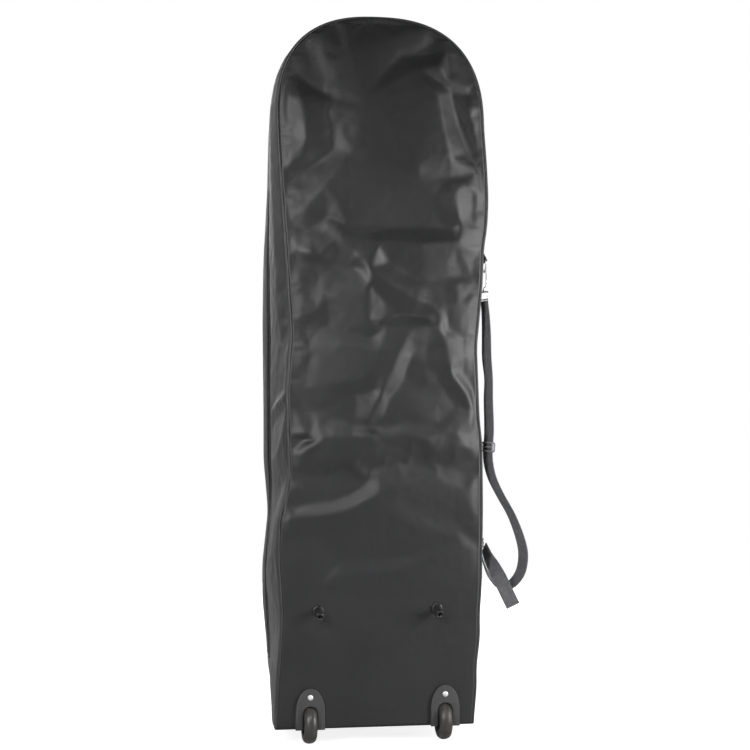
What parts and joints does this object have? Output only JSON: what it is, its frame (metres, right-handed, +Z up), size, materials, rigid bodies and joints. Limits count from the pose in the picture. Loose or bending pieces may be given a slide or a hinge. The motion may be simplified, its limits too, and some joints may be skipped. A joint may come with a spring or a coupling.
{
  "type": "golf travel case",
  "caption": "Soft arch-topped golf travel case on two wheels, with a zipped fold-down front flap, bumper pegs and a clip-on shoulder strap.",
  "frame": {"origin": "on the floor, under the middle of the standing case (strap left out)", "axes": "+Z up through the arched top, +Y towards the zipped front flap, -Y towards the wheels and pegs, +X to the shoulder strap's side"},
  "size_m": [0.4556, 0.3229, 1.27],
  "materials": {
    "polyester": "woven polyester, satin",
    "lining": "polyethylene board and foam, matt",
    "piping": "piped edge binding",
    "zip_tape": "knitted zip tape with coil",
    "housing": "moulded, fine grain",
    "black_plastic": "moulded, satin",
    "tyre": "cast tyre, satin",
    "webbing": "woven polypropylene webbing",
    "pale_plastic": "moulded, satin",
    "nickel": "nickel plated"
  },
  "bodies": {
    "case": {"back_panel": "polyester", "gusset": "polyester", "kick_panel": "polyester", "base_panel": "polyester", "back_board": "lining", "base_board": "lining", "top_padding": "lining", "back_piping": "piping", "zip_tape_case": "zip_tape", "wheel_housing_left": "housing", "wheel_housing_right": "housing", "bumper_peg_left": "black_plastic", "bumper_peg_right": "black_plastic", "front_foot_left": "black_plastic", "front_foot_right": "black_plastic", "cinch_buckle_lower": "black_plastic", "cinch_buckle_upper": "black_plastic", "shoulder_strap": "webbing", "strap_tail": "webbing", "ring_tab_upper": "webbing", "ring_tab_lower": "webbing", "cinch_strap_lower": "webbing", "cinch_strap_upper": "webbing", "strap_slider": "pale_plastic", "housing_rivet_left": "nickel", "housing_rivet_right": "nickel", "wheel_axle_left": "nickel", "wheel_axle_right": "nickel", "peg_screw_left": "nickel", "peg_screw_right": "nickel", "foot_screw_left": "nickel", "foot_screw_right": "nickel", "d_ring_upper": "nickel", "d_ring_lower": "nickel", "strap_hook_upper": "nickel", "strap_hook_lower": "nickel", "webbing_loop_upper": "nickel", "webbing_loop_lower": "nickel"},
    "wheel_left": {"tyre_left": "tyre", "wheel_hub_left": "housing"},
    "wheel_right": {"tyre_right": "tyre", "wheel_hub_right": "housing"},
    "flap": {"front_panel": "polyester", "flap_gusset": "polyester", "front_piping": "piping", "zip_tape_flap": "zip_tape", "shoe_pocket": "polyester", "pocket_zip_tape": "zip_tape", "handle_tab_left": "polyester", "handle_tab_right": "polyester"},
    "lower_zip": {"lower_zip_slider": "nickel"},
    "lower_pull": {"lower_zip_pull": "nickel"},
    "upper_zip": {"upper_zip_slider": "nickel"},
    "upper_pull": {"upper_zip_pull": "nickel"},
    "pocket_zip": {"pocket_zip_slider": "nickel"},
    "pocket_pull": {"pocket_zip_pull": "nickel"},
    "tow_bail": {"tow_handle": "black_plastic"},
    "gate_upper": {"hook_gate_upper": "nickel"},
    "gate_lower": {"hook_gate_lower": "nickel"}
  },
  "joints": [
    {"name": "wheel_left_spin", "type": "hinge", "parent": "case", "child": "wheel_left", "pos_m": [-0.1195, -0.122, 0.034], "axis": [1, 0, 0], "continuous": true},
    {"name": "wheel_right_spin", "type": "hinge", "parent": "case", "child": "wheel_right", "pos_m": [0.1195, -0.122, 0.034], "axis": [1, 0, 0], "continuous": true},
    {"name": "flap_fold", "type": "hinge", "parent": "case", "child": "flap", "pos_m": [0, 0.144, 0.121], "axis": [-1, 0, 0], "range_deg": [0, 90]},
    {"name": "lower_zip_run", "type": "slide", "parent": "case", "child": "lower_zip", "axis": [0, 0, 1], "range_m": [-0.46, 0]},
    {"name": "lower_pull_swing", "type": "hinge", "parent": "lower_zip", "child": "lower_pull", "pos_m": [0.19, 0.069, 0.6], "axis": [0, -1, 0], "range_deg": [0, 140]},
    {"name": "upper_zip_run", "type": "slide", "parent": "case", "child": "upper_zip", "axis": [0, 0, 1], "range_m": [0, 0.43]},
    {"name": "upper_pull_swing", "type": "hinge", "parent": "upper_zip", "child": "upper_pull", "pos_m": [0.19, 0.069, 0.626], "axis": [0, -1, 0], "range_deg": [0, 140]},
    {"name": "pocket_zip_run", "type": "slide", "parent": "flap", "child": "pocket_zip", "axis": [1, 0, 0], "range_m": [-0.18, 0]},
    {"name": "pocket_pull_swing", "type": "hinge", "parent": "pocket_zip", "child": "pocket_pull", "pos_m": [0.1, 0.1548, 0.56], "axis": [0, 0, -1], "range_deg": [0, 140]},
    {"name": "tow_handle_swing", "type": "hinge", "parent": "flap", "child": "tow_bail", "pos_m": [0, 0.1525, 1.12], "axis": [1, 0, 0], "range_deg": [0, 120]},
    {"name": "upper_gate_swing", "type": "hinge", "parent": "case", "child": "gate_upper", "pos_m": [0.1897, -0.12, 0.8045], "axis": [0, 1, 0], "range_deg": [0, 18], "stiffness_Nm_per_rad": 0.02},
    {"name": "lower_gate_swing", "type": "hinge", "parent": "case", "child": "gate_lower", "pos_m": [0.1897, -0.085, 0.3635], "axis": [0, 1, 0], "range_deg": [0, 18], "stiffness_Nm_per_rad": 0.02}
  ]
}
